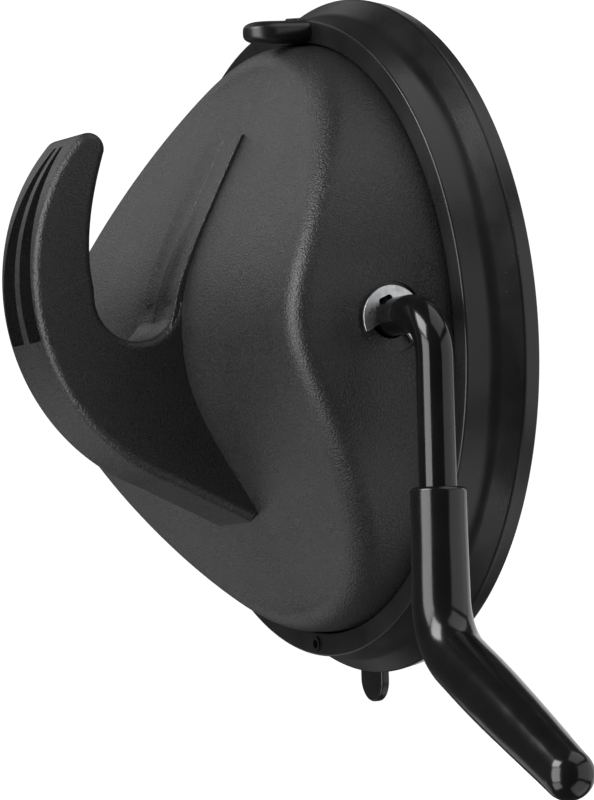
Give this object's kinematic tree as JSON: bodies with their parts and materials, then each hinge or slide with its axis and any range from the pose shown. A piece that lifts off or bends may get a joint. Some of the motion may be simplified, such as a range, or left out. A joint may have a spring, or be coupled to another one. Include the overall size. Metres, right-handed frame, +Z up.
{
  "type": "lever suction hook",
  "caption": "Lever-operated suction cup mount with a moulded upward hook on a tent-shaped housing; a side lever with a soft grip turns a cam that lifts the middle of the cup.",
  "frame": {"origin": "centre of the suction cup's sealing face, on the wall plane", "axes": "+Z up along the hook, +Y into the wall, so the front of the part is -Y; +X towards the side the lever comes out"},
  "size_m": [0.168, 0.0683, 0.1413],
  "materials": {
    "housing_plastic": "black moulded plastic with a fine spark texture",
    "cup_rubber": "black matte rubber",
    "lever_enamel": "gloss black enamel on steel rod",
    "grip_vinyl": "semi-gloss black dipped vinyl",
    "zinc_steel": "bright zinc-plated steel",
    "cam_acetal": "natural acetal",
    "bush_nylon": "black nylon"
  },
  "bodies": {
    "mount_body": {"housing": "housing_plastic", "guide_plate": "zinc_steel", "guide_screw_1": "zinc_steel", "guide_screw_2": "zinc_steel", "guide_screw_3": "zinc_steel", "guide_screw_4": "zinc_steel", "rod_bush_right": "bush_nylon", "rod_bush_left": "bush_nylon", "suction_cup": "cup_rubber"},
    "lever": {"lever_rod": "lever_enamel", "lever_grip": "grip_vinyl", "retaining_clip_right": "zinc_steel", "retaining_clip_left": "zinc_steel", "cam": "cam_acetal", "cam_pin": "zinc_steel"},
    "lift": {"cup_plate": "zinc_steel", "stirrup": "zinc_steel", "plate_washer_1": "zinc_steel", "plate_washer_2": "zinc_steel", "plate_screw_1": "zinc_steel", "plate_screw_2": "zinc_steel"}
  },
  "joints": [
    {"name": "lever_turn", "type": "hinge", "parent": "mount_body", "child": "lever", "pos_m": [0, -0.0227, 0], "axis": [-1, 0, 0], "range_deg": [0, 176]},
    {"name": "cup_lift", "type": "slide", "parent": "mount_body", "child": "lift", "axis": [0, -1, 0], "range_m": [0, 0.004]}
  ],
  "couplings": [
    {"joint": "cup_lift", "follows": "lever_turn", "m_per_rad": 0.0013}
  ]
}
